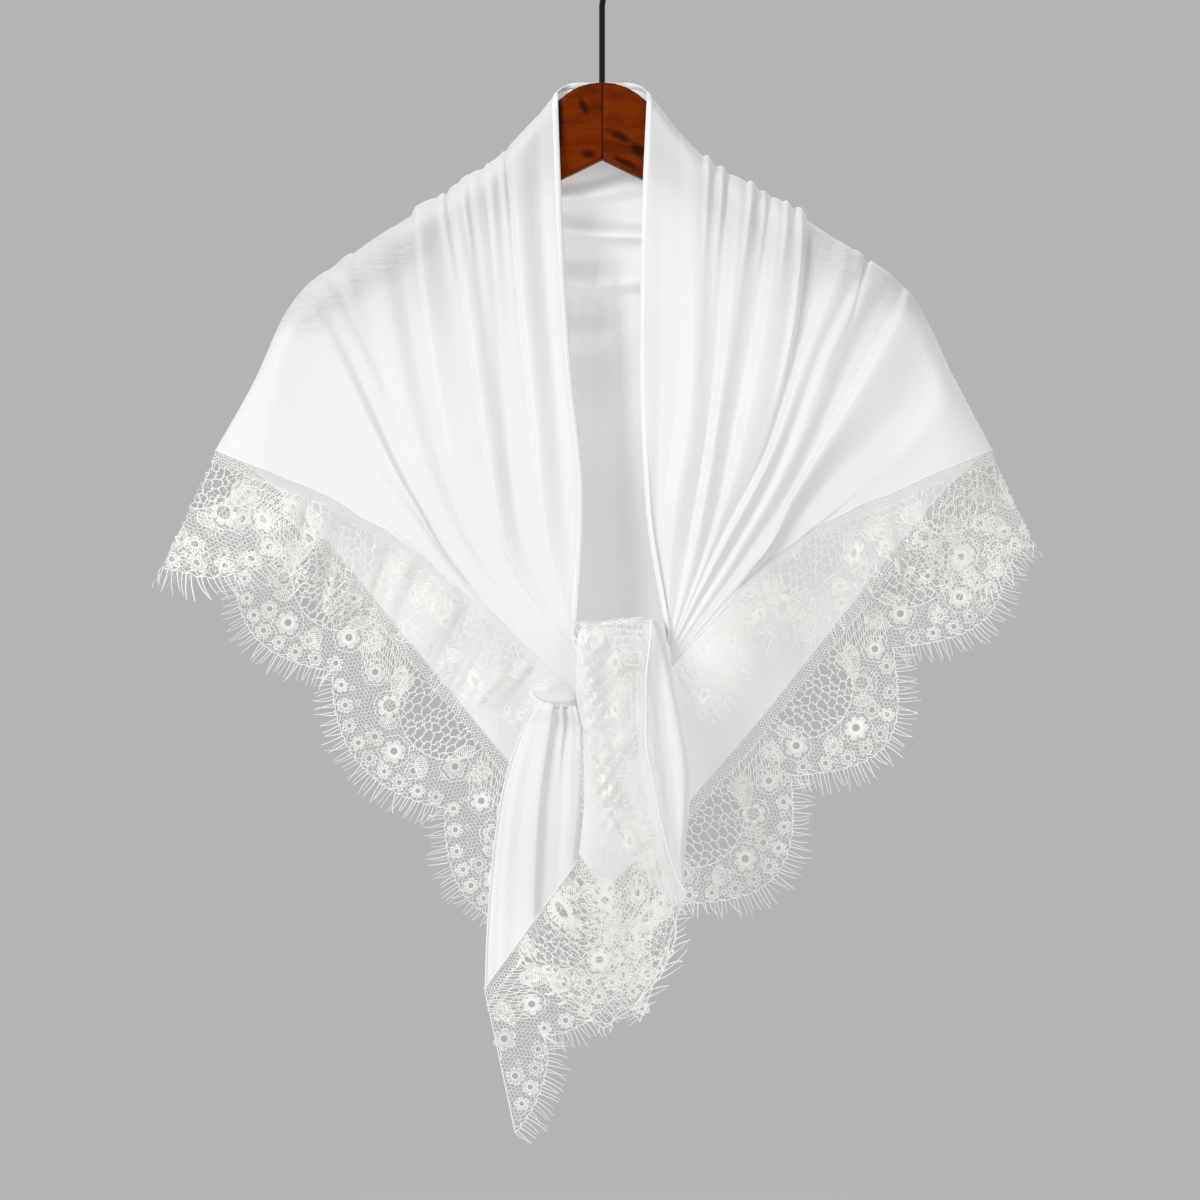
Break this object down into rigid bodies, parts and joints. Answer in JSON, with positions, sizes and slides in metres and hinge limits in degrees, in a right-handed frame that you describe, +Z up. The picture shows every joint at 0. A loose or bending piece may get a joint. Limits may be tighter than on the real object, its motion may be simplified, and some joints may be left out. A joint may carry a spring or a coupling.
{
  "type": "lace headscarf on hanger",
  "caption": "Triangular white headscarf with scalloped eyelash lace edging, knotted in front and hung over a wooden hanger with a wire hook.",
  "frame": {"origin": "inside top of the hanger's hook, where it bears on a rail or peg", "axes": "+Z up along the hook's shank, -Y towards the front with the knot, X along the hanger's arms with +X to the right seen from the front"},
  "size_m": [0.6032, 0.0969, 0.8348],
  "materials": {
    "cloth": "soft matte white jersey-like cloth",
    "lace": "off-white net lace with flowers",
    "fringe": "fine off-white threads",
    "wood": "red-brown stained and varnished",
    "steel": "black, satin"
  },
  "bodies": {
    "root": {"back": "cloth", "front_left": "cloth", "front_right": "cloth", "knot": "cloth", "tail_over": "cloth", "tail_under": "cloth", "lace_back_left": "lace", "lace_back_right": "lace", "lace_front_left": "lace", "lace_front_right": "lace", "lace_tail_over": "lace", "lace_tail_under": "lace", "fringe_back_left": "fringe", "fringe_back_right": "fringe", "fringe_front_left": "fringe", "fringe_front_right": "fringe", "fringe_tail_over": "fringe", "fringe_tail_under": "fringe", "hanger_arm_left": "wood", "hanger_arm_right": "wood", "hook": "steel"}
  },
  "joints": []
}
